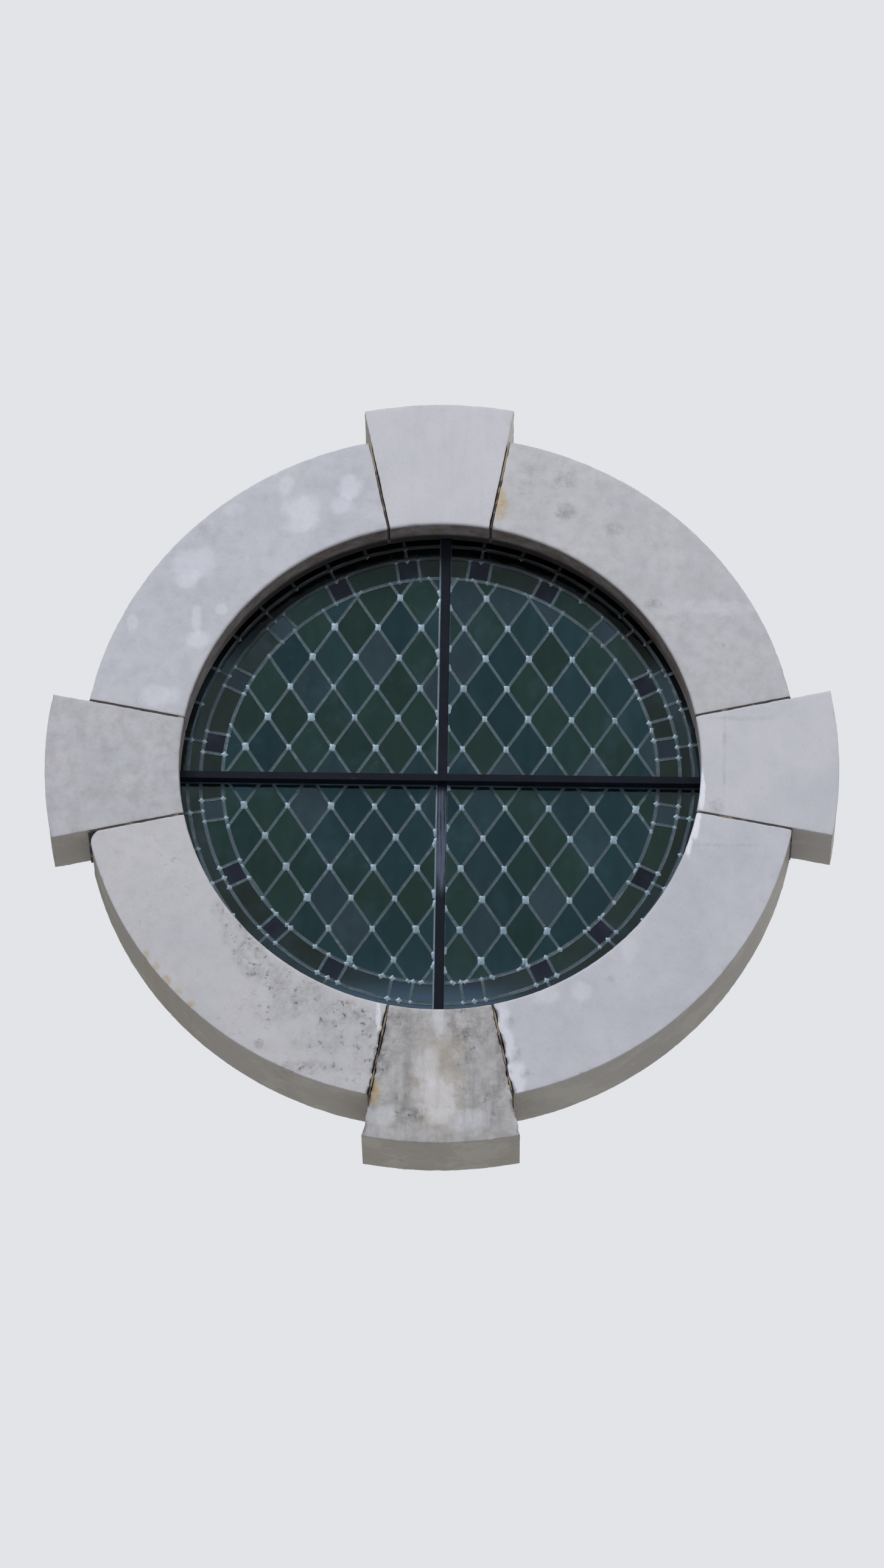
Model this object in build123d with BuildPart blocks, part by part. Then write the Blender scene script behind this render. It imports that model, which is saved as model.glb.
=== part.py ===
"""Round leaded window in a dressed stone surround, without the wall around it.

Millimetres. X runs to the right as seen from outside, Z is up and Y goes into the wall. The
origin is the centre of the opening, in the plane of the stones' front face.
"""

import os
from math import atan2, ceil, cos, degrees, radians, sin, sqrt

from build123d import *

# Stone surround
opening_radius = 735.0
ring_stone_width = 275.0
right_keystone_width = 390.0
top_keystone_width = 372.0
left_keystone_width = 380.0
bottom_keystone_width = 398.0
keystone_half_angle = 11.4
surround_turn = 1.0
stone_depth = 240.0
nib_depth = 113.0
nib_width = 30.0
arris_radius = 8.0
joint_width = 4.5
pointing_recess = 3.0

# Mortar that beds the panels in the rebate
bed_thickness = 3.0
bed_margin = 4.0
perimeter_gap = 8.0
fillet_width = 22.0
fillet_rise = 16.0

# Lead cames and glass
flange_thickness = 1.5
glass_thickness = 4.0
pane_clearance = 0.3
glass_lap = 3.2
lattice_came = 9.0
ring_came = 10.5
edge_came = 12.0
smallest_pane = 150.0

# Pattern of the panels
rim_band_width = 42.0
narrow_band_width = 37.0
wide_band_width = 62.0
lattice_width = 123.0
lattice_height = 185.0
lower_lattice_rise = 7.0
squares_per_turn = 20
square_width = 62.0
mended_border_angle = 16.9
mended_narrow_angles = (9.0, 20.0, 28.5, 40.5, 54.5, 63.0, 81.0)

# Bars
mullion_shift = 6.0
mullion_width = 26.0
mullion_thickness = 6.0
transom_drop = 7.0
transom_height = 22.0
transom_depth = 32.0
bar_arris = 1.5
notch_clearance = 0.5
bar_seat = 25.0
pocket_margin = 6.0
left_panel_gap = 3.5
right_panel_gap = 0.8
upper_panel_gap = 0.3
lower_panel_gap = 0.8

# Lugs, cover strips and wedges
lug_thickness = 5.0
lug_width = 14.0
lug_tip = 4.0
cover_thickness = 4.0
cover_slot_clearance = 0.5
cover_end_gap = 3.0
cover_butt_gap = 0.5
wedge_length = 26.0
wedge_thickness = 4.6
wedge_thick_end = 8.0
wedge_thin_end = 5.0
wedge_clearance = 0.2

# Pins, saddle bars and straps
pin_radius = 3.0
pin_seat = 30.0
pin_reach = 18.0
pin_spread_share = 0.75
saddle_bar_radius = 5.0
saddle_bar_gap = 1.5
saddle_bar_seat = 20.0
strap_width = 3.0
strap_thickness = 1.0
fit_clearance = 0.3

# Radii that follow, from the stone inwards
rebate_radius = opening_radius + nib_width
ring_stone_radius = opening_radius + ring_stone_width
panel_radius = rebate_radius - perimeter_gap
outer_came_radius = panel_radius - rim_band_width
middle_came_radius = outer_came_radius - narrow_band_width
inner_came_radius = middle_came_radius - wide_band_width

# Depths that follow, from the stone's front face into the wall
lead_front = nib_depth + bed_thickness
glass_front = lead_front + flange_thickness + pane_clearance
heart_height = glass_thickness + 2 * pane_clearance
lead_back = lead_front + heart_height + 2 * flange_thickness
cover_back = lead_back + cover_thickness
mullion_front = lead_front - mullion_thickness
transom_front = lead_front - transom_depth

# Straight edges of the four panels, on each side of the lugs
left_edge = mullion_shift - lug_thickness / 2 - left_panel_gap
right_edge = mullion_shift + lug_thickness / 2 + right_panel_gap
upper_edge = -transom_drop + lug_thickness / 2 + upper_panel_gap
lower_edge = -transom_drop - lug_thickness / 2 - lower_panel_gap

quarter_turn = 90
ring_stone_half_angle = quarter_turn / 2 - keystone_half_angle

# Name of each stone, the angle of its middle and its width along the radius
keystones = {
    "keystone_right": (0, right_keystone_width),
    "keystone_top": (quarter_turn, top_keystone_width),
    "keystone_left": (2 * quarter_turn, left_keystone_width),
    "keystone_bottom": (3 * quarter_turn, bottom_keystone_width),
}
ring_stones = {
    "ring_stone_upper_right": quarter_turn / 2,
    "ring_stone_upper_left": 3 * quarter_turn / 2,
    "ring_stone_lower_left": 5 * quarter_turn / 2,
    "ring_stone_lower_right": 7 * quarter_turn / 2,
}

# Name of each panel, with the sides of the upright and of the level bar that it stands on
quarters = {
    "upper_right": (1, 1),
    "upper_left": (-1, 1),
    "lower_left": (-1, -1),
    "lower_right": (1, -1),
}


def at_depth(depth):
    """Upright plane at a depth in the wall, with X to the right and Z up."""
    return Plane.XZ.offset(-depth)


def finish(part, name):
    """Label a finished piece and write it."""
    part.label = name
    export_step(part, f"parts/{name}.step")


os.makedirs("parts", exist_ok=True)

# Bars: their lugs stand a quarter and three quarters of the way along each arm
bar_reach = opening_radius + bar_seat
lug_distances = [side * opening_radius * part / 4 for side in (-1, 1) for part in (1, 3)]
mullion_lugs = [Location((mullion_shift, z), quarter_turn) for z in lug_distances]
transom_lugs = [Location((x, -transom_drop)) for x in lug_distances]
wedge_taper = (wedge_thick_end - wedge_thin_end) / wedge_length
wedge_slot_depth = (
    (wedge_thick_end + wedge_thin_end + wedge_taper * lug_thickness) / 2 + wedge_clearance
)
lug_length = cover_back - lead_front + wedge_slot_depth + lug_tip


def lugs(places):
    """Tabs on the back of a bar, each slotted behind the cover strip for its wedge."""
    with BuildPart() as tabs:
        with BuildSketch(at_depth(lead_front)):
            with Locations(*places):
                Rectangle(lug_width, lug_thickness)
        extrude(amount=-lug_length)
        with BuildSketch(at_depth(cover_back)):
            with Locations(*places):
                Rectangle(wedge_thickness + 2 * wedge_clearance, 2 * lug_thickness)
        extrude(amount=-wedge_slot_depth, mode=Mode.SUBTRACT)
    return tabs.part


with BuildPart() as mullion_bar:
    with BuildSketch(at_depth(mullion_front)):
        with Locations((mullion_shift, 0)):
            Rectangle(mullion_width, 2 * bar_reach)
    extrude(amount=-mullion_thickness)
    chamfer(mullion_bar.edges().group_by(Axis.Y)[0].filter_by(Axis.Z), bar_arris)
    add(lugs(mullion_lugs))
finish(mullion_bar.part, "mullion_bar")

with BuildPart() as transom_bar:
    with BuildSketch(at_depth(transom_front)):
        with Locations((0, -transom_drop)):
            Rectangle(2 * bar_reach, transom_height)
    extrude(amount=-transom_depth)
    chamfer(transom_bar.edges().group_by(Axis.Y)[0].filter_by(Axis.X), bar_arris)
    with BuildSketch(at_depth(mullion_front - notch_clearance)):
        with Locations((mullion_shift, -transom_drop)):
            Rectangle(mullion_width + 2 * notch_clearance, 2 * transom_height)
    extrude(amount=-mullion_thickness - notch_clearance, mode=Mode.SUBTRACT)
    add(lugs(transom_lugs))
finish(transom_bar.part, "transom_bar")

# Pockets for the bars' ends, cut through the reveal and open to the rebate
pocket_reach = bar_reach + pocket_margin
with BuildPart() as bar_pockets:
    with BuildSketch(at_depth(transom_front - pocket_margin)):
        with Locations((0, -transom_drop)):
            Rectangle(2 * pocket_reach, transom_height + 2 * pocket_margin)
    extrude(amount=-(nib_depth - transom_front + pocket_margin))
    with BuildSketch(at_depth(mullion_front - pocket_margin)):
        with Locations((mullion_shift, 0)):
            Rectangle(mullion_width + 2 * pocket_margin, 2 * pocket_reach)
    extrude(amount=-(nib_depth - mullion_front + pocket_margin))

# Lead run round the bars' ends, kept back from the reveal
with BuildPart() as bar_end_lead:
    add(bar_pockets.part)
    with BuildSketch(at_depth(0)):
        Circle(opening_radius + pointing_recess)
    extrude(amount=-stone_depth, mode=Mode.SUBTRACT)
    add([mullion_bar.part, transom_bar.part], mode=Mode.SUBTRACT)
finish(bar_end_lead.part, "bar_end_lead")

# Pins: three in the rebate behind each panel, spread over most of its ring stone
pin_depth = lead_back + pin_radius + fit_clearance
pin_angles = [
    middle + surround_turn + side * ring_stone_half_angle * pin_spread_share
    for middle in ring_stones.values()
    for side in (-1, 0, 1)
]
pin_start = rebate_radius - pin_reach
pin_planes = [
    Plane(
        origin=(pin_start * cos(radians(angle)), pin_depth, pin_start * sin(radians(angle))),
        z_dir=(cos(radians(angle)), 0, sin(radians(angle))),
    )
    for angle in pin_angles
]


def pins(margin):
    """Round pins along the radius, or their sockets when a margin is given."""
    with BuildPart() as rods:
        with BuildSketch(*pin_planes):
            Circle(pin_radius + margin)
        extrude(amount=pin_reach + pin_seat + margin)
    return rods.part


finish(pins(0), "rebate_pins")

# Saddle bars: each follows the row of lattice joints nearest to half the radius
row_step = lattice_height / 2
saddle_row = round(opening_radius / 2 / row_step)
saddle_bar_depth = cover_back + saddle_bar_gap + saddle_bar_radius
saddle_bar_heights = {
    "upper": saddle_row * row_step,
    "lower": -saddle_row * row_step + lower_lattice_rise,
}


def saddle_bar(height, margin):
    """Round bar across the inside, or its sockets when a margin is given."""
    with BuildPart() as rod:
        with BuildSketch(Plane.YZ):
            with Locations((saddle_bar_depth, height)):
                Circle(saddle_bar_radius + margin)
        extrude(
            amount=sqrt(rebate_radius**2 - height**2) + saddle_bar_seat + margin, both=True
        )
    return rod.part


for name, height in saddle_bar_heights.items():
    finish(saddle_bar(height, 0), f"saddle_bar_{name}")

sockets = [pins(fit_clearance)]
sockets += [saddle_bar(height, fit_clearance) for height in saddle_bar_heights.values()]


# Stones
def sector(inner, outer, middle, half_angle):
    """Piece of a ring whose sides lie half a joint back from their radial lines."""
    apex = Vector(joint_width / 2 / sin(radians(half_angle)), 0).rotate(Axis.Z, middle)
    far = 2 * outer
    with BuildSketch() as face:
        Circle(outer)
        Circle(inner, mode=Mode.SUBTRACT)
        with BuildLine():
            Polyline(
                apex,
                apex + Vector(far, 0).rotate(Axis.Z, middle - half_angle),
                apex + Vector(far, 0).rotate(Axis.Z, middle + half_angle),
                close=True,
            )
        make_face(mode=Mode.INTERSECT)
    return face.sketch


def stone(middle, half_angle, width):
    """Wedge-shaped stone with its nib in front, its rebate behind and a worn inner arris."""
    outer = opening_radius + width
    with BuildPart() as block:
        with BuildSketch(at_depth(0)):
            add(sector(opening_radius, outer, middle + surround_turn, half_angle))
        extrude(amount=-nib_depth)
        with BuildSketch(at_depth(nib_depth)):
            add(sector(rebate_radius, outer, middle + surround_turn, half_angle))
        extrude(amount=nib_depth - stone_depth)
        front = block.faces().sort_by(Axis.Y)[0]
        fillet(front.edges().filter_by(GeomType.CIRCLE).sort_by(SortBy.RADIUS)[0], arris_radius)
        add([bar_pockets.part, *sockets], mode=Mode.SUBTRACT)
    return block.part


for name, (middle, width) in keystones.items():
    finish(stone(middle, keystone_half_angle, width), name)
for name, middle in ring_stones.items():
    finish(stone(middle, ring_stone_half_angle, ring_stone_width), name)


def joint_strips(inner):
    """Eight strips as wide as a joint, from a radius to the back of the ring stones."""
    joint_angles = [
        middle + surround_turn + side * keystone_half_angle
        for middle, width in keystones.values()
        for side in (-1, 1)
    ]
    with BuildSketch() as strips:
        with Locations(*[Location((0, 0), angle) for angle in joint_angles]):
            Rectangle(2 * ring_stone_radius, joint_width, align=(Align.MIN, Align.CENTER))
        Circle(ring_stone_radius, mode=Mode.INTERSECT)
        Circle(inner, mode=Mode.SUBTRACT)
    return strips.sketch


with BuildPart() as joint_mortar:
    with BuildSketch(at_depth(pointing_recess)):
        add(joint_strips(opening_radius + pointing_recess))
    extrude(amount=pointing_recess - nib_depth)
    with BuildSketch(at_depth(nib_depth)):
        add(joint_strips(rebate_radius))
    extrude(amount=nib_depth - stone_depth)
finish(joint_mortar.part, "joint_mortar")

# Bedding: mortar between nib and lead, and round the panels' rim
with BuildPart() as glazing_bed:
    with BuildSketch(Plane.XY):
        Polygon(
            (opening_radius + bed_margin, nib_depth),
            (rebate_radius, nib_depth),
            (rebate_radius, lead_back),
            (panel_radius, lead_back),
            (panel_radius, lead_front),
            (opening_radius + bed_margin, lead_front),
            align=None,
        )
    revolve(axis=Axis.Y)
    add([mullion_bar.part, transom_bar.part], mode=Mode.SUBTRACT)
finish(glazing_bed.part, "glazing_bed")

with BuildPart() as rebate_fillet:
    with BuildSketch(Plane.XY):
        Polygon(
            (rebate_radius - fillet_width, lead_back),
            (rebate_radius, lead_back),
            (rebate_radius, lead_back + fillet_rise),
            align=None,
        )
    revolve(axis=Axis.Y)
    add(sockets, mode=Mode.SUBTRACT)
finish(rebate_fillet.part, "rebate_fillet")

# Cover strips over the panels' straight edges, slotted for the lugs
cover_reach = rebate_radius - fillet_width - cover_end_gap
transom_cover_start = mullion_width / 2 + cover_butt_gap


def lug_slots(places):
    """Slots in a cover strip for the lugs."""
    with Locations(*places):
        Rectangle(
            lug_width + 2 * cover_slot_clearance,
            lug_thickness + 2 * cover_slot_clearance,
            mode=Mode.SUBTRACT,
        )


with BuildPart() as mullion_cover:
    with BuildSketch(at_depth(lead_back)):
        with Locations((mullion_shift, 0)):
            Rectangle(mullion_width, 2 * cover_reach)
        lug_slots(mullion_lugs)
    extrude(amount=-cover_thickness)
finish(mullion_cover.part, "mullion_cover")

for name, side in (("left", -1), ("right", 1)):
    start = mullion_shift + side * transom_cover_start
    end = side * cover_reach
    with BuildPart() as transom_cover:
        with BuildSketch(at_depth(lead_back)):
            with Locations(((start + end) / 2, -transom_drop)):
                Rectangle(abs(end - start), transom_height)
            lug_slots(transom_lugs)
        extrude(amount=-cover_thickness)
    finish(transom_cover.part, f"transom_cover_{name}")

# Wedges: driven through the lugs, flat side on the cover strip
with BuildPart() as wedge:
    with BuildSketch(Plane.YZ):
        Polygon(
            (0, -wedge_length / 2),
            (wedge_thick_end, -wedge_length / 2),
            (wedge_thin_end, wedge_length / 2),
            (0, wedge_length / 2),
            align=None,
        )
    extrude(amount=wedge_thickness / 2, both=True)

with BuildPart() as cover_wedges:
    with Locations(*[(x, cover_back, -transom_drop) for x in lug_distances]):
        add(wedge.part)
    with Locations(
        *[Location((mullion_shift, cover_back, z), (0, quarter_turn, 0)) for z in lug_distances]
    ):
        add(wedge.part)
finish(cover_wedges.part, "cover_wedges")


# Straps: copper loops round the saddle bars, soldered to the lattice joints
def strap_places(height):
    """Distances from the middle of the lattice joints that a saddle bar passes."""
    reach = sqrt(inner_came_radius**2 - height**2) - 2 * lattice_came
    steps = ceil(reach / lattice_width)
    joints = [(step + saddle_row % 2 / 2) * lattice_width for step in range(-steps, steps + 1)]
    return [x for x in joints if abs(x) < reach and abs(x - mullion_shift) > mullion_width]


loop_radius = saddle_bar_radius + fit_clearance
loop_length = saddle_bar_depth + loop_radius - lead_back - strap_thickness
with BuildPart() as tie_straps:
    for height in saddle_bar_heights.values():
        with BuildSketch(*[Plane.YZ.offset(x) for x in strap_places(height)]):
            with Locations((lead_back + strap_thickness + loop_length / 2, height)):
                SlotOverall(
                    loop_length + 2 * strap_thickness, 2 * (loop_radius + strap_thickness)
                )
                SlotOverall(loop_length, 2 * loop_radius, mode=Mode.SUBTRACT)
        extrude(amount=strap_width / 2, both=True)
finish(tie_straps.part, "tie_straps")


# Panels: lead net and panes of each quarter
def keep_quarter(quarter, setback):
    """Cut the sketch back to one quarter, set back from the panel's straight edges."""
    side, level = quarters[quarter]
    x = right_edge if side > 0 else left_edge
    z = upper_edge if level > 0 else lower_edge
    with Locations((x + side * (setback + panel_radius), z + level * (setback + panel_radius))):
        Rectangle(2 * panel_radius, 2 * panel_radius, mode=Mode.INTERSECT)


def keep_band(inner, outer, quarter, lap):
    """Cut the sketch back to one quarter of the band between two round cames."""
    Circle(outer, mode=Mode.INTERSECT)
    Circle(inner, mode=Mode.SUBTRACT)
    keep_quarter(quarter, edge_came - lap)


def cross_angles(quarter, pitch, first):
    """Angles of evenly spaced cross cames in and next to a quarter."""
    middle = quarter_turn * (list(quarters).index(quarter) + 1 / 2)
    steps = range(ceil(4 * quarter_turn / pitch))
    angles = [first + pitch * step for step in steps]
    return [angle for angle in angles if abs(angle - middle) < quarter_turn / 2 + pitch]


def cross_cames(angles, width, mode):
    """Strips along the radius, at the given angles, from the centre to the panel's rim."""
    with Locations(*[Location((0, 0), angle) for angle in angles]):
        Rectangle(panel_radius, width, align=(Align.MIN, Align.CENTER), mode=mode)


def diamond_panes(quarter, lap):
    """Panes between the leaning cames, whose joints lie on staggered rows."""
    width = lattice_came - 2 * lap
    rise = lower_lattice_rise if quarters[quarter][1] < 0 else 0
    lean = atan2(lattice_height, lattice_width)
    reach = inner_came_radius / cos(lean)
    lines = ceil(reach / lattice_height)
    with BuildSketch() as panes:
        Circle(inner_came_radius - ring_came / 2 + lap)
        keep_quarter(quarter, edge_came - lap)
        with Locations(*[(0, n * lattice_height + rise) for n in range(-lines, lines + 1)]):
            Rectangle(2 * reach, width, rotation=degrees(lean), mode=Mode.SUBTRACT)
            Rectangle(2 * reach, width, rotation=-degrees(lean), mode=Mode.SUBTRACT)
    return panes.sketch


border_inner = inner_came_radius + ring_came / 2
border_outer = middle_came_radius - ring_came / 2
square_pitch = 4 * quarter_turn / squares_per_turn


def square_panes(quarter, lap):
    """Small squares in the wide border."""
    with BuildSketch() as panes:
        angles = cross_angles(quarter, square_pitch, square_pitch / 2)
        cross_cames(angles, square_width - lattice_came + 2 * lap, Mode.ADD)
        keep_band(border_inner - lap, border_outer + lap, quarter, lap)
    return panes.sketch


def border_panes(quarter, lap):
    """Long panes between the squares of the wide border, one of them mended with a came."""
    with BuildSketch() as panes:
        Circle(panel_radius)
        keep_band(border_inner - lap, border_outer + lap, quarter, lap)
        angles = cross_angles(quarter, square_pitch, square_pitch / 2)
        cross_cames(angles, square_width + lattice_came - 2 * lap, Mode.SUBTRACT)
        cross_cames([mended_border_angle], lattice_came - 2 * lap, Mode.SUBTRACT)
    return panes.sketch


def narrow_panes(quarter, lap):
    """Long panes in the narrow band, divided at the squares or, where mended, unevenly."""
    inner = middle_came_radius + ring_came / 2 - lap
    outer = outer_came_radius - ring_came / 2 + lap
    angles = cross_angles(quarter, square_pitch, square_pitch / 2)
    if quarter == "upper_right":
        angles = mended_narrow_angles
    with BuildSketch() as panes:
        Circle(panel_radius)
        keep_band(inner, outer, quarter, lap)
        cross_cames(angles, lattice_came - 2 * lap, Mode.SUBTRACT)
    return panes.sketch


def rim_panes(quarter, lap):
    """Short panes at the rim, divided at the squares and midway between them."""
    inner = outer_came_radius + ring_came / 2 - lap
    with BuildSketch() as panes:
        Circle(panel_radius)
        keep_band(inner, panel_radius - edge_came + lap, quarter, lap)
        angles = cross_angles(quarter, square_pitch / 2, 0)
        cross_cames(angles, lattice_came - 2 * lap, Mode.SUBTRACT)
    return panes.sketch


def behind(seen, sketch):
    """Faces of a sketch that lie behind the openings large enough to hold a pane."""
    middles = [face.center() for face in seen]
    return [face for face in sketch.faces() if any(face.is_inside(middle) for middle in middles)]


pane_kinds = {
    "diamond_panes": diamond_panes,
    "square_panes": square_panes,
    "border_panes": border_panes,
    "narrow_panes": narrow_panes,
    "rim_panes": rim_panes,
}

for quarter in quarters:
    openings = []
    channels = []
    for name, kind in pane_kinds.items():
        seen = [face for face in kind(quarter, 0).faces() if face.area > smallest_pane]
        openings += seen
        channels += behind(seen, kind(quarter, glass_lap + pane_clearance))
        with BuildPart() as panes:
            with BuildSketch(at_depth(glass_front)):
                add(behind(seen, kind(quarter, glass_lap)))
            extrude(amount=-glass_thickness)
        finish(panes.part, f"{name}_{quarter}")

    with BuildPart() as lead_net:
        with BuildSketch(at_depth(lead_front)):
            Circle(panel_radius)
            keep_quarter(quarter, 0)
        extrude(amount=lead_front - lead_back)
        with BuildSketch(at_depth(lead_front)):
            add(openings)
        extrude(amount=lead_front - lead_back, mode=Mode.SUBTRACT)
        with BuildSketch(at_depth(lead_front + flange_thickness)):
            add(channels)
        extrude(amount=-heart_height, mode=Mode.SUBTRACT)
    finish(lead_net.part, f"lead_net_{quarter}")
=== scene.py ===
"""Looks of a round leaded window in its stone surround, laid out as an add-on and run as a script.

Metres. X runs to the right as seen from outside, Z is up and Y goes into the wall. The origin is
the centre of the opening, in the plane of the stones' front face.
"""

import math
import random
from collections import namedtuple

import bmesh
import bpy
from bpy.props import FloatProperty, FloatVectorProperty, IntProperty, PointerProperty
from mathutils import Matrix, Vector, noise


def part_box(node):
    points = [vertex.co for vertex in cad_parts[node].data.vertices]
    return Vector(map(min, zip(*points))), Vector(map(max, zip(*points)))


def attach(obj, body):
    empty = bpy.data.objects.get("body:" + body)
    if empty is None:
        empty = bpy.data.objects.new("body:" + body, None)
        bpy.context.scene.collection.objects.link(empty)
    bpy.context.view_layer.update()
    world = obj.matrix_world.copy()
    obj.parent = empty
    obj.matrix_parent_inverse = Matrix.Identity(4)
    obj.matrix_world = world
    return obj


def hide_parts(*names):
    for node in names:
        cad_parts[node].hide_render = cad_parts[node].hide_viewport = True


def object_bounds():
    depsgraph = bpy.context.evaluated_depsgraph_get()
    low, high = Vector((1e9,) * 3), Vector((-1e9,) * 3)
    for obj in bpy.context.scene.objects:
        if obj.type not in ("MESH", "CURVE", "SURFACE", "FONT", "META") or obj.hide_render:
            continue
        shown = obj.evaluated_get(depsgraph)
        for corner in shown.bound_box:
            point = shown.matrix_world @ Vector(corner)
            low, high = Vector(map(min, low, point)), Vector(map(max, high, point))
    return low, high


bl_info = {
    "name": "Oculus Window",
    "version": (1, 0, 0),
    "blender": (4, 5, 0),
    "location": "3D View > Sidebar > Oculus",
    "description": "Finishes a round leaded window and its stone surround",
    "category": "Object",
}

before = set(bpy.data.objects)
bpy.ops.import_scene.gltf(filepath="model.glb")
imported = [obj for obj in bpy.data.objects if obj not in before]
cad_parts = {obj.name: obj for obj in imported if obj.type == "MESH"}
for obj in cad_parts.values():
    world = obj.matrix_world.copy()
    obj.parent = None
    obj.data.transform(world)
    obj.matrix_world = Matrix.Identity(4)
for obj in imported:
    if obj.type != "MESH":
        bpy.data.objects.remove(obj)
CAD_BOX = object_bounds()

BODY = "root"
AXIS = Vector((0, -1, 0))


# Places and sizes read from the frame
def corners(node):
    """Corners of a node's mesh."""
    return [vertex.co.copy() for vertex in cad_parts[node].data.vertices]


def distance(co):
    """Distance of a point from the window's axis."""
    return math.hypot(co.x, co.z)


def reach(node):
    """Nearest and furthest distance of a node's corners from the window's axis."""
    distances = [distance(co) for co in corners(node)]
    return min(distances), max(distances)


def angle_from(co, middle):
    """Angle of a point about the axis, counted from a middle direction."""
    return (math.atan2(co.z, co.x) - middle + math.pi) % math.tau - math.pi


def span(node):
    """Direction of a stone's middle and half of its angle, at its outer face."""
    outer = reach(node)[1]
    rim = [co for co in corners(node) if distance(co) > outer - 1e-4]
    centre = sum(rim, Vector()) / len(rim)
    middle = math.atan2(centre.z, centre.x)
    turns = [angle_from(co, middle) for co in rim]
    return middle + (min(turns) + max(turns)) / 2, (max(turns) - min(turns)) / 2


QUARTERS = ["upper_right", "upper_left", "lower_left", "lower_right"]
RING_STONES = [f"ring_stone_{quarter}" for quarter in QUARTERS]
KEYSTONES = [f"keystone_{side}" for side in ("right", "top", "left", "bottom")]
OPENING_RADIUS = reach("ring_stone_upper_right")[0]
REBATE_RADIUS = reach("glazing_bed")[1]
PANEL_RADIUS = reach("lead_net_upper_right")[1]
STONE_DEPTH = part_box("keystone_top")[1].y
NIB_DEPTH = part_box("glazing_bed")[0].y
NET_START, NET_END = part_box("lead_net_upper_right")
LEAD_FRONT = NET_START.y
LEAD_BACK = NET_END.y
RIGHT_EDGE = NET_START.x
UPPER_EDGE = NET_START.z
LEFT_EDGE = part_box("lead_net_upper_left")[1].x
LOWER_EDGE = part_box("lead_net_lower_right")[1].z
MULLION_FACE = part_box("mullion_bar")[0].y


# Settings that a user would change
def size(name, description, default):
    """A length in the panel."""
    return FloatProperty(name=name, description=description, default=default, unit="LENGTH")


def share(name, description, default):
    """A share from 0 to 1 in the panel."""
    return FloatProperty(
        name=name, description=description, default=default, min=0, max=1, subtype="FACTOR"
    )


def tilt(name, description, degrees):
    """An angle in the panel."""
    return FloatProperty(
        name=name, description=description, default=math.radians(degrees), unit="ROTATION"
    )


def as_light(level):
    """One channel of a screen colour, from 0 to 255, as the light it stands for."""
    part = level / 255
    if part <= 0.04045:
        return part / 12.92
    return ((part + 0.055) / 1.055) ** 2.4


def colour(name, description, *levels):
    """A colour in the panel, from its red, green and blue on a screen."""
    light = [as_light(level) for level in levels]
    return FloatVectorProperty(
        name=name, description=description, default=light, min=0, max=1, subtype="COLOR"
    )


class StoneSettings(bpy.types.PropertyGroup):
    """Sizes and colours of the dressed stones."""

    joint: size("Joint", "Width of the joint between two stones", 0.0045)
    arris: size("Inner arris", "Radius of the worn edge round the opening", 0.008)
    edge: size("Edges", "Rounding of the other edges in front", 0.0025)
    grid: size("Grid", "Length of one step of the mesh", 0.008)
    pocket: size("Pocket", "Room round a bar's end", 0.006)
    undulation: size("Undulation", "Depth of the dressed face's hollows", 0.0007)
    roughness: size("Rough back", "Hollows where stone met masonry", 0.004)
    chip: size("Chips", "Deepest chips along the edges", 0.007)
    light: colour("Light", "Clean stone", 190, 191, 200)
    dull: colour("Dull", "Cloudy parts of the stone", 170, 173, 185)
    warm: colour("Warm", "Weathered, warmer stone", 188, 186, 184)
    # Also laid as a painted highlight along the lower right inner arris.
    white: colour("White", "Bleached blotches and fresh breaks", 214, 217, 228)
    soot: colour("Soot", "Dirt in hollows and runs", 92, 91, 93)
    # Partly stain and partly painted shade: the reveal's colour, laid stronger above.
    reveal: colour("Reveal", "Stone inside the opening, out of the rain", 93, 79, 68)
    # Painted shade deep in the upper reveal, with some soot.
    recess_shade_and_soot: colour("Recess", "Soot deep in the reveal, above", 20, 19, 19)
    ochre: colour("Ochre", "Lichen and ochre stains", 170, 146, 100)
    rust: colour("Rust", "Rust that runs out of a joint", 120, 70, 48)
    masonry: colour("Masonry side", "Stone that stood in the wall", 160, 153, 142)
    lime: colour("Old mortar", "Mortar left on the masonry side", 188, 184, 174)


class MortarSettings(bpy.types.PropertyGroup):
    """Colours of the mortars."""

    joint: colour("Joint", "Dark, hollow joint", 62, 56, 54)
    pointing: colour("Pointing", "What is left of the pointing", 146, 132, 110)
    bed: colour("Bed", "Glazing mortar at the rim", 120, 116, 108)
    fillet: colour("Fillet", "Mortar fillet over the pins", 158, 152, 142)


class LeadSettings(bpy.types.PropertyGroup):
    """Sizes and colours of the cames and their solder."""

    crown: size("Crown", "How far a came's edges lie back", 0.0008)
    slope: size("Slope", "Width of the rounded edge of a came", 0.0022)
    lattice_width: size("Lattice width", "Distance between lattice joints, level", 0.123)
    lattice_height: size("Lattice height", "Distance between lattice joints, upright", 0.185)
    lower_rise: size("Lower rise", "How much higher the lower lattice sits", 0.007)
    rim_band: size("Rim band", "Width of the band at the rim", 0.042)
    narrow_band: size("Narrow band", "Width of the next band", 0.037)
    wide_band: size("Wide band", "Width of the band with the squares", 0.062)
    square: size("Square", "Distance between a square's cames", 0.062)
    squares: IntProperty(name="Squares", description="Squares in one turn", default=20, min=4)
    edge_inset: size("Edge inset", "Solder at the bars, from the panels' edges", 0.010)
    blob: size("Solder", "Radius of a solder joint", 0.0116)
    border_share: share("Border solder", "Size of the border's joints against the others", 0.68)
    rise: size("Solder rise", "How far the solder stands out", 0.0008)
    lead: colour("Lead", "Weathered lead", 50, 68, 78)
    # Also laid as painted shade on the upper cames.
    dark: colour("Dark lead", "Dirt on the lead", 38, 47, 54)
    # Painted shade: colour of the cames and the solder where the soffit's shade is painted.
    soot: colour("Soot", "Lead under the soffit", 17, 18, 21)
    solder: colour("Solder", "Bright, tinned joints", 118, 138, 152)


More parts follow.
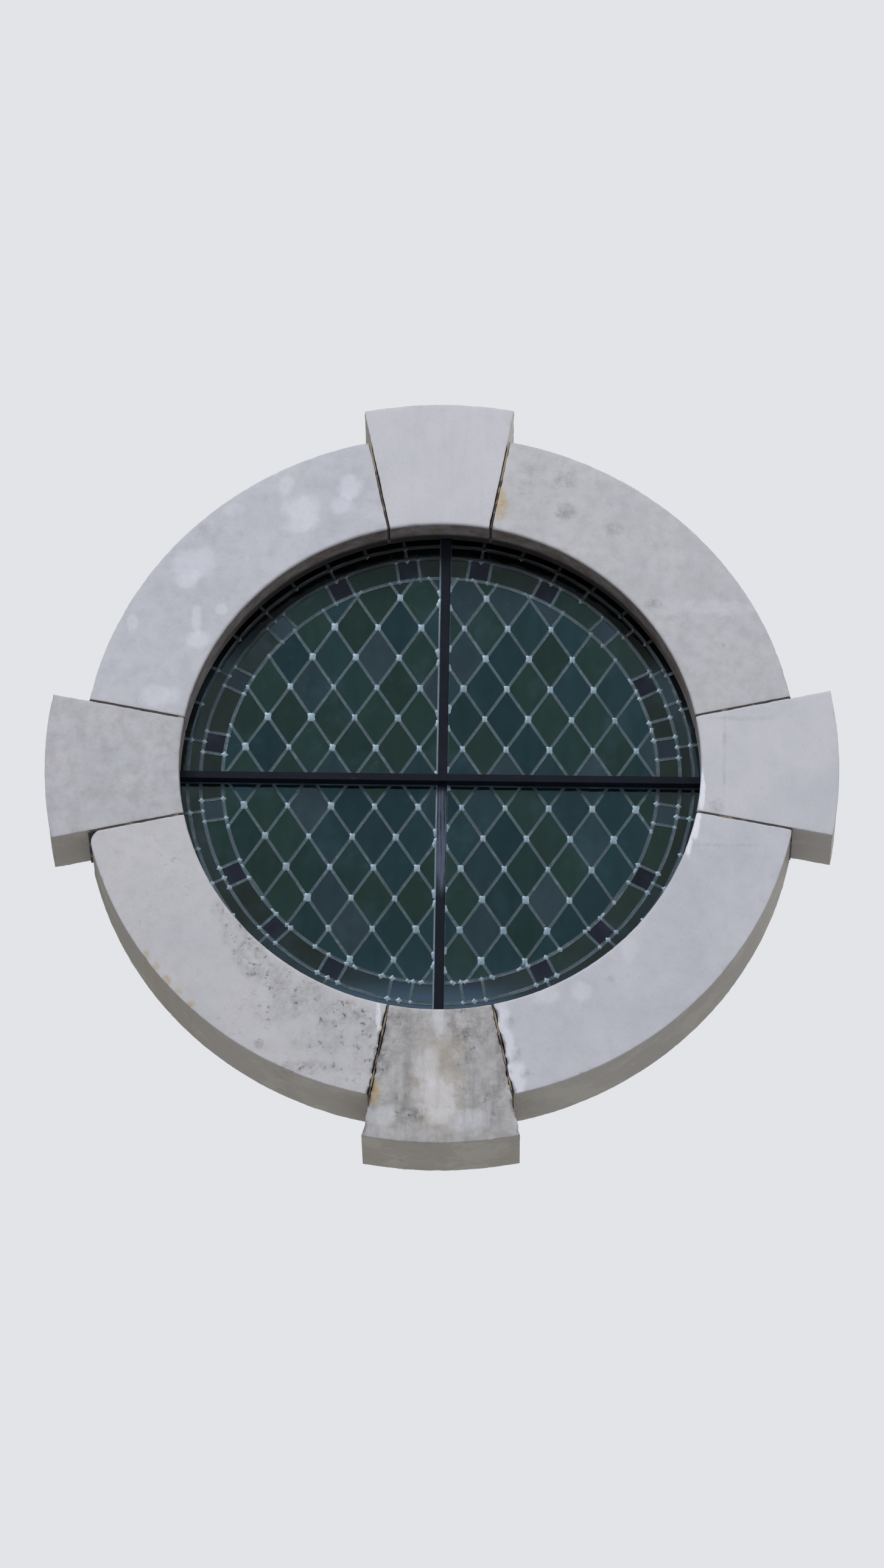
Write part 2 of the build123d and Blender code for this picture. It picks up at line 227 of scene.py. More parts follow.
class GlassSettings(bpy.types.PropertyGroup):
    """Colours of the panes as seen against the dark inside."""

    green: colour("Green", "Bottle green panes", 43, 64, 60)
    teal: colour("Teal", "Teal panes", 40, 64, 70)
    grey: colour("Blue grey", "Blue grey panes", 58, 74, 82)
    olive: colour("Olive", "Long panes of the border", 46, 56, 54)
    violet: colour("Violet", "Small squares of the border", 40, 43, 54)
    sky: colour("Sky", "Light in the lowest panes", 76, 98, 118)


class IronSettings(bpy.types.PropertyGroup):
    """Sizes and colours of the bars and the fittings."""

    bevel: size("Bevel", "Rounding of the bars' edges", 0.0009)
    navy: colour("Paint", "Old dark blue paint", 15, 18, 29)
    faded: colour("Faded paint", "Paint dulled by the weather", 25, 30, 42)
    worn: colour("Worn paint", "Chalky, worn paint", 84, 94, 112)
    rust: colour("Rust", "Rust where the paint is gone", 92, 58, 40)
    iron: colour("Iron", "Bare iron inside", 70, 66, 64)
    copper: colour("Copper", "Copper straps", 142, 92, 66)
    patina: colour("Patina", "Green on the straps", 96, 132, 118)


class StageSettings(bpy.types.PropertyGroup):
    """The camera, the floor and the light."""

    distance: size("Distance", "From the camera to the window", 29.0)
    view_width: size("Width of view", "What the picture spans at the window", 2.5)
    looks_up: tilt("Looks up", "Angle at which the camera looks up", 21.7)
    from_right: tilt("From the right", "How far to the right of the axis it stands", 0.7)
    roll: tilt("Roll", "Turn of the camera about its own axis", 0.97)
    floor_drop: size("Floor", "From the window's centre down to it", 12.4)
    floor_reach: size("Floor reach", "From the middle of the floor to its edges", 40.0)
    pale: colour("Background", "Floor and background", 226, 228, 231)
    floor_glow: share("Floor glow", "How nearly the floor looks like the background", 0.8)
    ambient: share("Ambient", "Strength of the light from above", 0.49)
    ambient_below: share("Ambient below", "Strength of the light from below", 0.22)


# Shader nodes
class Value:
    """A socket on which sums are written as on numbers."""

    def __init__(self, shader, socket):
        self.shader = shader
        self.socket = socket

    def __add__(self, other):
        return self.shader.math("ADD", self, other)

    def __sub__(self, other):
        return self.shader.math("SUBTRACT", self, other)

    def __rsub__(self, other):
        return self.shader.math("SUBTRACT", other, self)

    def __mul__(self, other):
        return self.shader.math("MULTIPLY", self, other)

    def __truediv__(self, other):
        return self.shader.math("DIVIDE", self, other)

    def __pow__(self, other):
        return self.shader.math("POWER", self, other)

    __radd__ = __add__
    __rmul__ = __mul__

    def between(self, low, high, start=0.0, end=1.0):
        """Smooth step from a low to a high limit."""
        sockets = {"Value": self, "From Min": low, "From Max": high, "To Min": start, "To Max": end}
        return self.shader.node("MapRange", sockets, interpolation_type="SMOOTHSTEP")


class Shader:
    """The nodes of a material or a world. Patterns follow the Object coordinates."""

    def __init__(self, name, base=None, owners="materials"):
        self.owner = getattr(bpy.data, owners).new(name)
        self.owner.use_nodes = True
        self.tree = self.owner.node_tree
        self.tree.nodes.clear()
        self.tint = base
        self.place = self.node("TexCoord", output="Object")
        self.x, self.y, self.z = (
            self.node("SeparateXYZ", {"Vector": self.place}, axis) for axis in "XYZ"
        )

    def node(self, kind, sockets=None, output=0, stops=(), **settings):
        """Add a node, set it, fill its sockets and return one output, if it has any."""
        made = self.tree.nodes.new(f"ShaderNode{kind}")
        for name, value in settings.items():
            setattr(made, name, value)
        for number, (position, tint) in enumerate(stops):
            if number < 2:
                stop = made.color_ramp.elements[number]
                stop.position = position
            else:
                stop = made.color_ramp.elements.new(position)
            stop.color = (*tint, 1)
        for name, value in (sockets or {}).items():
            if isinstance(value, Value):
                self.tree.links.new(value.socket, made.inputs[name])
            else:
                made.inputs[name].default_value = value
        if made.outputs:
            return Value(self, made.outputs[output])

    def math(self, operation, first, second):
        """One Math node."""
        return self.node("Math", {0: first, 1: second}, operation=operation)

    def mix(self, factor, first, second):
        """Two colours mixed by a factor from 0 to 1."""
        sockets = {0: factor}
        for number, tint in ((6, first), (7, second)):
            sockets[number] = tint if isinstance(tint, Value) else (*tint, 1)
        return self.node("Mix", sockets, 2, data_type="RGBA")

    def lay(self, cover, top):
        """Lay a colour over the surface as far as the cover goes."""
        self.tint = self.mix(cover, self.tint, top)

    def scaled(self, x, y, z):
        """The place stretched along each axis, for patterns with a direction."""
        return self.node("Mapping", {"Vector": self.place, "Scale": (x, y, z)})

    def noise(self, scale, detail=4, roughness=0.6, vector=None):
        """Cloudy noise from 0 to 1."""
        sockets = {"Scale": scale, "Detail": detail, "Roughness": roughness}
        sockets["Vector"] = vector or self.place
        return self.node("TexNoise", sockets)

    def cells(self, scale):
        """Distance from the nearest point of a scattered set."""
        return self.node("TexVoronoi", {"Vector": self.place, "Scale": scale})

    def attribute(self, name):
        """A number stored on the mesh."""
        return self.node("Attribute", output="Fac", attribute_name=name)

    def radius(self):
        """Distance from the window's axis."""
        return (self.x * self.x + self.z * self.z) ** 0.5

    def painted_soffit_shade(self):
        """1 in the outer bands of the upper half, where the soffit's shade is painted."""
        return self.z.between(0.27, 0.46) * self.radius().between(0.668, 0.684)

    def seen(self):
        """1 for rays of the camera and for what gloss and glass show, 0 for light."""
        most = 0.0
        for ray in ("Camera", "Glossy", "Transmission"):
            most = self.math("MAXIMUM", most, self.node("LightPath", output=f"Is {ray} Ray"))
        return most

    def patch(self, mark, ragged, scale=18):
        """1 inside an oval with a ragged edge, 0 outside."""
        across = (self.x - mark.x) / mark.wide
        along = (self.z - mark.z) / mark.high
        oval = (across * across + along * along) ** 0.5
        wander = (self.noise(scale) - 0.5) * (2 * ragged)
        return (oval + wander).between(1.25, 0.5)

    def finish(self, height, depth, strength, **sockets):
        """Close the material with one surface shader and its bump."""
        sockets = {name.replace("_", " "): value for name, value in sockets.items()}
        bump = {"Height": height, "Distance": depth, "Strength": strength}
        sockets |= {"Base Color": self.tint, "Normal": self.node("Bump", bump)}
        self.node("OutputMaterial", {"Surface": self.node("BsdfPrincipled", sockets)})
        return self.owner


# Finished pieces
BROAD_FACE = 0.01  # square metres, from which a face counts as broad
CREASE = 35  # degrees, from which an edge is sharp


def cad_copy(node):
    """A merged copy of a CAD node's mesh."""
    bm = bmesh.new()
    bm.from_mesh(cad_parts[node].data)
    bmesh.ops.remove_doubles(bm, verts=bm.verts, dist=1e-6)
    return bm


def set_creases(bm, crease=CREASE):
    """Shade a mesh smooth, but sharp at creases of so many degrees and round broad, flat faces."""
    broad = set()
    for face in bm.faces:
        face.smooth = True
        if face.calc_area() > BROAD_FACE:
            broad.add(face)
    for edge in bm.edges:
        gentle = edge.calc_face_angle(math.pi) < math.radians(crease)
        edge.smooth = gentle and broad.isdisjoint(edge.link_faces)


def bevel(bm, parts, offset, segments, affect="EDGES", clamp=False):
    """Round edges or corners of a mesh."""
    bmesh.ops.bevel(
        bm,
        geom=parts,
        offset=offset,
        affect=affect,
        segments=segments,
        profile=0.5,
        material=-1,
        clamp_overlap=clamp,
    )


def add_object(name, data):
    """A new object in the scene."""
    made = bpy.data.objects.new(name, data)
    bpy.context.scene.collection.objects.link(made)
    return made


def add_mesh(name, bm):
    """A new object in the scene that takes over a mesh."""
    mesh = bpy.data.meshes.new(name)
    bm.to_mesh(mesh)
    bm.free()
    return add_object(name, mesh)


def show(bm, name, material, slot, *nodes, crease=CREASE):
    """Make a finished piece that stands for CAD nodes, or that sits on them if it names none."""
    set_creases(bm, crease)
    piece = add_mesh(name, bm)
    mesh = piece.data
    if mesh.has_custom_normals:
        mesh.attributes.remove(mesh.attributes["custom_normal"])
    mesh.materials.append(material)
    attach(piece, BODY)
    if nodes:
        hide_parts(*nodes)
    return piece


def dress(material, *nodes):
    """Give CAD nodes a finished material."""
    for node in nodes:
        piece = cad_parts[node]
        for slot in piece.material_slots:
            slot.material = material


# Stones
Mark = namedtuple("Mark", "x z wide high weight", defaults=(1.0,))
StoneLook = namedtuple(
    "StoneLook",
    "warmth grime bleached sooty ochre rusty specks runs bedding slack ragged_start ragged_end",
    defaults=(0.0, (), (), (), (), 0.1, 0.0, 0.0, 0.0, 0.3, 0.3),
)


def marks(*rows):
    """Ovals on a stone: centre and half widths in millimetres, and a weight where it isn't 1."""
    return [Mark(*(length / 1000 for length in row[:4]), *row[4:]) for row in rows]


STONE_LOOKS = {
    "ring_stone_upper_left": StoneLook(
        warmth=0.0, grime=0.14,
        bleached=marks(
            (-452, 852, 25, 34, 0.36), (-403, 762, 62, 62, 0.46), (-272, 849, 36, 38, 0.46),
            (-294, 792, 32, 32, 0.42), (-707, 608, 62, 50, 0.42), (-726, 555, 36, 30, 0.42),
            (-698, 434, 17, 50, 0.42), (-695, 367, 42, 28, 0.44), (-627, 465, 19, 19, 0.4),
            (-795, 200, 62, 36, 0.38), (-879, 421, 18, 28, 0.3), (-602, 775, 30, 20, 0.25),
        ),
        sooty=marks((-670, 700, 40, 35, 0.4), (-590, 690, 30, 20, 0.3)),
        ragged_start=0.4,
    ),
    "ring_stone_upper_right": StoneLook(
        warmth=0.45, grime=0.2,
        bleached=marks((760, 490, 180, 26, 0.2)),
        sooty=marks(
            (262, 905, 35, 28, 0.7), (343, 880, 40, 35, 0.7), (231, 852, 30, 25, 0.5),
            (343, 775, 32, 28), (486, 728, 30, 22, 0.6), (592, 494, 30, 18, 0.9),
            (648, 454, 18, 14, 0.8), (797, 374, 7, 7),
        ),
        ochre=marks((160, 800, 22, 55, 1.3)),
        specks=0.2, ragged_end=0.4,
    ),
    "ring_stone_lower_left": StoneLook(
        warmth=0.5, grime=0.08,
        bleached=marks((-160, -770, 8, 55)),
        sooty=marks(
            (-605, -455, 35, 45, 0.5), (-560, -520, 40, 50, 0.8), (-515, -590, 50, 55),
            (-450, -650, 60, 50, 0.9), (-365, -705, 60, 50, 0.9), (-270, -755, 65, 45, 0.9),
            (-190, -775, 40, 45, 0.9), (-440, -740, 80, 55, 0.5), (-300, -835, 100, 50, 0.5),
            (-360, -915, 110, 22, 0.9), (-200, -885, 35, 80, 0.6), (-493, -848, 14, 16, 1.2),
        ),
        ochre=marks(
            (-812, -590, 10, 22), (-786, -624, 12, 18, 0.8), (-756, -660, 13, 17),
            (-722, -697, 15, 15, 0.8), (-686, -732, 16, 12),
        ),
        specks=0.85, ragged_end=1.5,
    ),
    "ring_stone_lower_right": StoneLook(
        warmth=0.0, grime=0.06,
        bleached=marks(
            # The first three marks are a painted highlight along the lit inner arris, on whitened
            # stone.
            (728, -95, 14, 70, 2.2), (718, -160, 14, 60, 2.2), (702, -225, 12, 45, 1.8),
            (185, -760, 22, 50, 0.7), (203, -850, 22, 60, 0.7), (230, -940, 26, 60, 0.8),
            (315, -696, 36, 26, 0.35), (407, -683, 28, 30, 0.35), (537, -555, 26, 36, 0.25),
        ),
        sooty=marks(
            (205, -775, 18, 20, 0.7), (226, -860, 16, 30, 0.8), (250, -925, 14, 20, 0.8),
            (800, -235, 110, 6, 0.5), (490, -640, 12, 10, 0.6),
        ),
        specks=0.2, ragged_start=1.5,
    ),
    "keystone_top": StoneLook(
        warmth=0.25, runs=0.12, slack=0.0022, ragged_start=0.4, ragged_end=0.4
    ),
    "keystone_right": StoneLook(
        warmth=0.15,
        # Painted highlight along the lit inner arris, on whitened stone.
        bleached=marks((738, -70, 10, 60, 2.2)),
        sooty=marks((801, 30, 6, 140, 0.6), (781, -115, 22, 22, 0.8), (840, 150, 90, 8, 0.5)),
        rusty=marks((846, -174, 20, 12)),
        specks=0.2,
    ),
    "keystone_left": StoneLook(warmth=0.45, grime=0.29, bedding=0.9, specks=0.2),
    "keystone_bottom": StoneLook(
        warmth=0.9, grime=0.43,
        bleached=marks(
            (10, -775, 22, 60, 0.45), (-20, -910, 35, 70, 0.6), (10, -1000, 60, 75, 0.75),
            (80, -1060, 90, 35, 0.5), (-150, -1060, 50, 30, 0.4),
        ),
        sooty=marks(
            (-107, -790, 50, 60, 0.9), (-150, -885, 30, 50, 1.5), (-65, -1050, 50, 28, 1.5),
            (-105, -1000, 40, 30, 0.7), (65, -780, 30, 60), (130, -800, 50, 60, 0.7),
            (80, -870, 40, 60, 0.7), (150, -1010, 40, 60, 0.6), (185, -900, 16, 110),
        ),
        ochre=marks((-176, -985, 26, 45, 1.4), (15, -950, 80, 170, 0.42)),
        specks=0.7, runs=0.8, ragged_start=1.5, ragged_end=1.5,
    ),
}


def limestone(node, stone):
    """Weathered limestone with the marks of one stone, with painted shade in the reveal and, on
    some stones, a painted highlight on the inner arris.
    """
    look = STONE_LOOKS[node]
    coat = Shader(f"limestone_{node}", stone.light)
    cloud = coat.noise(5, 5, 0.6)
    mottle = coat.noise(24, 5, 0.65)
    grain = coat.noise(320, 3, 0.6)
    pores = coat.cells(150).between(0.10, 0.22, 1, 0)
    thin = coat.noise(70, 4, 0.65)
    coat.lay(cloud.between(0.3, 0.75) * 0.6, stone.dull)
    warmed = mottle.between(0.25, 0.7) * 0.6 + 0.4
    coat.lay(warmed * look.warmth, stone.warm)
    coat.lay(mottle.between(0.5, 0.8) * 0.35, stone.dull)
    coat.lay(grain.between(0.3, 0.7) * 0.07, stone.soot)
    spotted = mottle.between(0.35, 0.65) * 0.6 + 0.4
    coat.lay(spotted * look.grime, stone.soot)
    # Bleached blotches, and on the lower right the painted highlight along the inner arris.
    for mark in look.bleached:
        cover = coat.patch(mark, 0.8, 19) * mark.weight * (thin * 0.6 + 0.5)
        coat.lay(coat.math("MINIMUM", cover, 0.95), stone.white)
    smudged = 0.0
    for mark in look.sooty:
        smudged = smudged + coat.patch(mark, 0.6, 16) * mark.weight
    if look.sooty:
        soft = mottle.between(0.3, 0.7) * 0.3 + thin.between(0.45, 0.7) * 0.24
        coat.lay(smudged * soft, stone.soot)
    for mark in look.ochre:
        cover = coat.patch(mark, 0.7, 22) * thin.between(0.2, 0.7) * (0.7 * mark.weight)
        coat.lay(cover, stone.ochre)
    for mark in look.rusty:
        coat.lay(coat.patch(mark, 0.4) * 0.8, stone.rust)
    streaks = coat.noise(1, 5, 0.65, coat.scaled(20, 20, 3.5))
    coat.lay(streaks.between(0.45, 0.8) * (0.7 * look.runs), stone.soot)
    layers = coat.noise(1, 3, 0.5, coat.scaled(3, 3, 50))
    coat.lay(layers.between(0.45, 0.75) * (0.6 * look.bedding), stone.dull)
    specks = coat.noise(52).between(0.57, 0.65)
    crowd = coat.noise(7, 3, 0.5).between(0.45, 0.65) * 0.3 + smudged * 0.8
    coat.lay(specks * crowd * look.specks, stone.soot)
    coat.lay(pores * 0.16, stone.soot)
    coat.lay(coat.attribute("chipped").between(0.15, 0.6) * 0.5, stone.soot)
    radius = coat.radius()
    lip = OPENING_RADIUS + 0.004
    inside = radius.between(lip, OPENING_RADIUS + 0.0005)
    behind = coat.y.between(0.002, 0.010)
    # Partly dirt and partly painted shade: the reveal's colour is laid stronger towards the top.
    under = coat.z.between(-0.30, 0.40) * 0.5 + 0.35
    dirty = streaks.between(0.30, 0.65) * 0.25 + mottle.between(0.3, 0.7) * 0.2 + 0.65
    coat.lay(inside * behind * under * dirty, stone.reveal)
    # Painted shade with some soot: the back of the upper reveal is laid near black.
    recess_shade_and_soot = coat.y.between(0.062, 0.088) * coat.z.between(0.25, 0.55)
    coat.lay(inside * recess_shade_and_soot * 0.9, stone.recess_shade_and_soot)
    buried = radius.between(lip, OPENING_RADIUS + 0.012) * behind
    old_mortar = coat.noise(6, 6, 0.7).between(0.5, 0.6) * buried
    coat.lay(buried * 0.8, stone.masonry)
    coat.lay(old_mortar * 0.4, stone.lime)
    tooled = coat.noise(38, 5, 0.7) * buried * 3.0 + old_mortar * 1.5
    dressed = mottle * 0.5 + grain * 0.25 - pores * 0.6 + coat.noise(90) * 0.5
    rough = mottle.between(0.2, 0.8, 0.82, 0.95)
    return coat.finish(dressed + tooled, 0.0012, 0.5, Roughness=rough, Specular_IOR_Level=0.25)


def stone_section(node, stone):
    """Outline of a stone's section, in the plane through the axis, cut into short steps."""
    outer = reach(node)[1]
    points = [
        (OPENING_RADIUS, 0, stone.arris),
        (outer, 0, stone.edge),
        (outer, STONE_DEPTH, stone.edge),
        (REBATE_RADIUS, STONE_DEPTH, stone.edge),
        (REBATE_RADIUS, NIB_DEPTH, 0),
        (OPENING_RADIUS, NIB_DEPTH, 0),
    ]
    bm = bmesh.new()
    ring = [bm.verts.new((radius, depth, 0)) for radius, depth, _ in points]
    bm.faces.new(ring)
    for corner, (*_, rounding) in zip(ring, points):
        if rounding:
            bevel(bm, [corner], rounding, 4, affect="VERTICES")
    for edge in list(bm.edges):
        cuts = round(edge.calc_length() / stone.grid) - 1
        if cuts > 0:
            bmesh.ops.subdivide_edges(bm, edges=[edge], cuts=cuts)
    bmesh.ops.delete(bm, geom=bm.faces[:], context="FACES_ONLY")
    return bm


def stone_body(node, stone):
    """Closed block: its section turned about the axis, with sides half a joint back."""
    middle, half_at_rim = span(node)
    outer = reach(node)[1]
    back = stone.joint / 2 + STONE_LOOKS[node].slack
    half = half_at_rim + math.asin(stone.joint / 2 / outer)
    bm = stone_section(node, stone)
    to_start = Matrix.Rotation(middle - half, 3, AXIS)
    bmesh.ops.rotate(bm, verts=bm.verts, cent=(0, 0, 0), matrix=to_start)
    bmesh.ops.spin(
        bm,
        geom=bm.verts[:] + bm.edges[:],
        cent=(0, 0, 0),
        axis=AXIS,
        angle=2 * half,
        steps=round(2 * half * outer / stone.grid),
        use_merge=False,
    )
    for vertex in bm.verts:
        radius = distance(vertex.co)
        turn = angle_from(vertex.co, middle)
        turn *= (half - math.asin(back / radius)) / half
        angle = middle + turn
        vertex.co = (radius * math.cos(angle), vertex.co.y, radius * math.sin(angle))
    open_edges = [edge for edge in bm.edges if edge.is_boundary]
    bmesh.ops.holes_fill(bm, edges=open_edges, sides=0)
    bmesh.ops.recalc_face_normals(bm, faces=bm.faces)
    bevel(bm, open_edges, stone.edge, 2)
    return bm, middle, half


CHIPPED_DEPTH = 0.022  # how far back from the front face the edges are chipped
WORN_CORNER = 0.045  # radius of the corner that is worn round


def falls_off(gap, width):
    """1 at an edge, 0 at a width from it."""
    return max(0.0, 1 - gap / width)


def wear_stone(bm, node, stone, middle, half):
    """Press hollows and chips into a stone, never outwards."""
    look = STONE_LOOKS[node]
    outer = reach(node)[1]
    seed = Vector((len(node), 0, 0)) * 7.3 + Vector((middle, 0, 0))
    chipped = bm.verts.layers.float.new("chipped")
    bm.normal_update()
    normals = {vertex: vertex.normal.copy() for vertex in bm.verts}
    for vertex, normal in normals.items():
        co = vertex.co
        radius = distance(co)
        turn = angle_from(co, middle)
        broken = 0.5 + 0.3 * noise.noise(co * 19 + seed) + 0.3 * noise.noise(co * 57 + seed)
        fine = 0.5 + 0.5 * noise.noise(co * 95 + seed)
        coarse = 0.5 + 0.5 * noise.noise(co * 9 + seed)
        edges = (  # gap to each edge, width and depth of its chips, noise from which it chips
            (radius * (half + turn), 0.015, look.ragged_start, 0.38),
            (radius * (half - turn), 0.015, look.ragged_end, 0.38),
            (outer - radius, 0.014, 0.35, 0.5),
            (radius - OPENING_RADIUS, 0.016, 0.3, 0.55),
        )
        chips = 0.0
        for gap, width, ragged, threshold in edges:
            chips += falls_off(gap, width) * ragged * max(0, broken - threshold)
        chips *= falls_off(co.y, CHIPPED_DEPTH) * (0.6 + 0.8 * fine)
        vertex[chipped] = min(1.0, 4 * chips)
        buried = max(falls_off(outer - radius, 0.010), falls_off(STONE_DEPTH - co.y, 0.010))
        buried *= min(1.0, max(0.0, co.y - 0.015) / 0.05)
        press = stone.undulation * (0.6 * coarse + 0.4 * fine)
        press += stone.roughness * buried * (0.5 * broken + 0.5 * fine)
        press += stone.chip * 2.5 * chips
        vertex.co = co - normal * press


def round_corner(bm, node, middle, half, radius):
    """Wear one corner of a stone round, between its outer face and its first joint."""
    outer = reach(node)[1]
    for vertex in bm.verts:
        r = distance(vertex.co)
        turn = angle_from(vertex.co, middle)
        across = radius - (outer - r)
        along = radius - outer * (half + turn)
        if across <= 0 or along <= 0:
            continue
        far = math.hypot(across, along)
        if far > radius:
            r -= across * (1 - radius / far)
            turn += along * (1 - radius / far) / outer
            angle = middle + turn
            vertex.co = (r * math.cos(angle), vertex.co.y, r * math.sin(angle))


def cut_pocket(piece, node, stone):
    """Cut the pocket for the end of the bar that a keystone holds."""
    bar = "transom_bar" if node in ("keystone_left", "keystone_right") else "mullion_bar"
    low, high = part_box(bar)
    margin = Vector((stone.pocket,) * 3)
    low = low - margin
    high = Vector((high.x, NIB_DEPTH - stone.pocket, high.z)) + margin
    bm = bmesh.new()
    bmesh.ops.create_cube(bm, size=1)
    bmesh.ops.scale(bm, verts=bm.verts, vec=high - low)
    bmesh.ops.translate(bm, verts=bm.verts, vec=(high + low) / 2)
    cutter = add_mesh("pocket", bm)
    cut = piece.modifiers.new("pocket", "BOOLEAN")
    cut.operation = "DIFFERENCE"
    cut.solver = "EXACT"
    cut.object = cutter
    graph = bpy.context.evaluated_depsgraph_get()
    finished = bpy.data.meshes.new_from_object(piece.evaluated_get(graph))
    bm = bmesh.new()
    bm.from_mesh(finished)
    bmesh.ops.dissolve_degenerate(bm, edges=bm.edges, dist=1e-5)
    set_creases(bm)
    bm.to_mesh(finished)
    bm.free()
    piece.modifiers.clear()
    piece.data = finished
    bpy.data.objects.remove(cutter)


class OCULUS_OT_stones(bpy.types.Operator):
    """Make the eight weathered stones of the surround"""

    bl_idname = "oculus.stones"
    bl_label = "Stones"

    def execute(self, context):
        stone = context.scene.oculus_stone
        for node in KEYSTONES + RING_STONES:
            bm, middle, half = stone_body(node, stone)
            if node == "ring_stone_lower_left":
                round_corner(bm, node, middle, half, WORN_CORNER)
            wear_stone(bm, node, stone, middle, half)
            piece = show(bm, f"{node}_dressed", limestone(node, stone), "stone", node)
            if node in KEYSTONES:
                cut_pocket(piece, node, stone)
        return {"FINISHED"}


# Mortar
def pointing(mortar):
    """Dark joint with remains of pale pointing, most of it above and at the very bottom."""
    coat = Shader("joint_pointing", mortar.joint)
    patches = coat.noise(28)
    fine = coat.noise(240, 3, 0.6)
    outward = coat.radius().between(0.80, 1)
    upper = coat.z.between(0.3, 0.8)
    lowest = coat.z.between(-0.70, -0.76)
    left = (patches + outward * upper * 0.35 + lowest * 0.12).between(0.52, 0.68)
    coat.lay(left, mortar.pointing)
    coat.lay(fine.between(0.3, 0.7) * 0.3, mortar.joint)
    return coat.finish(fine * 0.6 + patches, 0.002, 0.8, Roughness=0.95)


def lime_mortar(name, tone, dirt):
    """Sandy mortar with grains and dirt."""
    coat = Shader(name, tone)
    sand = coat.noise(420, 2, 0.6)
    cloud = coat.noise(20)
    grains = coat.cells(260).between(0.12, 0.3, 1, 0)
    coat.lay(cloud.between(0.35, 0.7) * 0.5, dirt)
    coat.lay(grains * 0.35, dirt)
    height = sand * 0.5 + cloud + grains * 0.4
    return coat.finish(height, 0.0015, 0.7, Roughness=0.92)


class OCULUS_OT_mortar(bpy.types.Operator):
    """Finish the joints, the glazing bed and the fillet"""

    bl_idname = "oculus.mortar"
    bl_label = "Mortar"

    def execute(self, context):
        mortar = context.scene.oculus_mortar
        dress(pointing(mortar), "joint_mortar")
        dress(lime_mortar("glazing_mortar", mortar.bed, mortar.joint), "glazing_bed")
        dress(lime_mortar("fillet_mortar", mortar.fillet, mortar.bed), "rebate_fillet")
        return {"FINISHED"}


# Lead and solder
MENDED_CAMES = (9, 20, 28.5, 40.5, 54.5, 63, 81)  # degrees, in the mended stretch of the border
ADDED_CAME = 16.9  # degrees, between the two inner circles
BORDER_MARGIN = 0.006  # from a panel's straight edges to the joints of its border
BLOB_SIDES = 14
BLOB_TOP = 0.8  # radius at a joint's shoulder against its foot
BLOB_SHOULDER = 0.65  # share of a joint's height below its shoulder
BLOB_CROWN = 0.35  # from a joint's shoulder in to its crown, against its radius


def weathered_lead(lead):
    """Grey-blue lead with dirt along its edges and brighter rubbed stretches, and painted shade on
    the upper cames and under the soffit.
    """
    coat = Shader("weathered_lead", lead.lead)
    cloud = coat.noise(9)
    fine = coat.noise(160, 4, 0.65)
    rubbed = coat.noise(30).between(0.55, 0.75)
    coat.lay(cloud.between(0.4, 0.7) * 0.5, lead.dark)
    coat.lay(fine.between(0.5, 0.75) * 0.45, lead.dark)
    coat.lay(rubbed * 0.25, lead.solder)
    beside_bar = coat.x.between(LEFT_EDGE - 0.013, LEFT_EDGE - 0.011)
    beside_bar = beside_bar * coat.x.between(RIGHT_EDGE, RIGHT_EDGE - 0.002)
    coat.lay(beside_bar * 0.6, lead.solder)
    # Painted shade: the cames darken towards the top.
    coat.lay(coat.z.between(0.50, 0.70) * 0.4, lead.dark)
    # Painted shade under the soffit, laid near black on the cames.
    coat.lay(coat.painted_soffit_shade() * 0.85, lead.soot)
    rough = fine.between(0.3, 0.7, 0.42, 0.66)
    return coat.finish(fine + cloud * 0.6, 0.0006, 0.6, Roughness=rough, Metallic=0.25)


def tinned_solder(lead):
    """Bright solder, dull in places, with painted shade on the upper joints and under the soffit.
    """
    coat = Shader("tinned_solder", lead.solder)
    cloud = coat.noise(14, 3, 0.6)
    fine = coat.noise(300, 3, 0.6)
    # Painted shade: joints near the inner circle in the upper half are dulled towards the lead's
    # colour.
    shaded = coat.z.between(0.18, 0.50) * coat.radius().between(0.56, 0.62)
    dull = cloud.between(0.4, 0.7) * 0.35 + shaded * 0.65
    coat.lay(dull, lead.lead)
    coat.lay(fine.between(0.55, 0.8) * 0.4, lead.dark)
    # Painted shade under the soffit, laid near black on the solder.
    coat.lay(coat.painted_soffit_shade() * 0.85, lead.soot)
    return coat.finish(fine, 0.0004, 0.5, Roughness=fine.between(0.3, 0.7, 0.32, 0.5), Metallic=0.3)


def crown_side(bm, lead, depth, facing):
    """Round one side of a net: its edges slope back from the cames' middles."""
    flat = [
        face
        for face in bm.faces
        if face.normal.y * facing > 0.99 and abs(face.calc_center_median().y - depth) < 1e-5
    ]
    inside = set(flat)
    rim = {
        vertex
        for face in flat
        for edge in face.edges
        if any(other not in inside for other in edge.link_faces)
        for vertex in edge.verts
    }
    bmesh.ops.inset_region(
        bm, faces=flat, thickness=lead.slope, depth=0, use_boundary=True, use_even_offset=True
    )
    for vertex in rim:
        vertex.co.y -= facing * lead.crown


class OCULUS_OT_lead(bpy.types.Operator):
    """Make the four nets of rounded cames"""

    bl_idname = "oculus.lead"
    bl_label = "Lead nets"

    def execute(self, context):
        lead = context.scene.oculus_lead
        material = weathered_lead(lead)
        for quarter in QUARTERS:
            node = f"lead_net_{quarter}"
            bm = cad_copy(node)
            crown_side(bm, lead, LEAD_FRONT, -1)
            crown_side(bm, lead, LEAD_BACK, 1)
            show(bm, f"cames_{quarter}", material, "lead", node, crease=50)
        return {"FINISHED"}


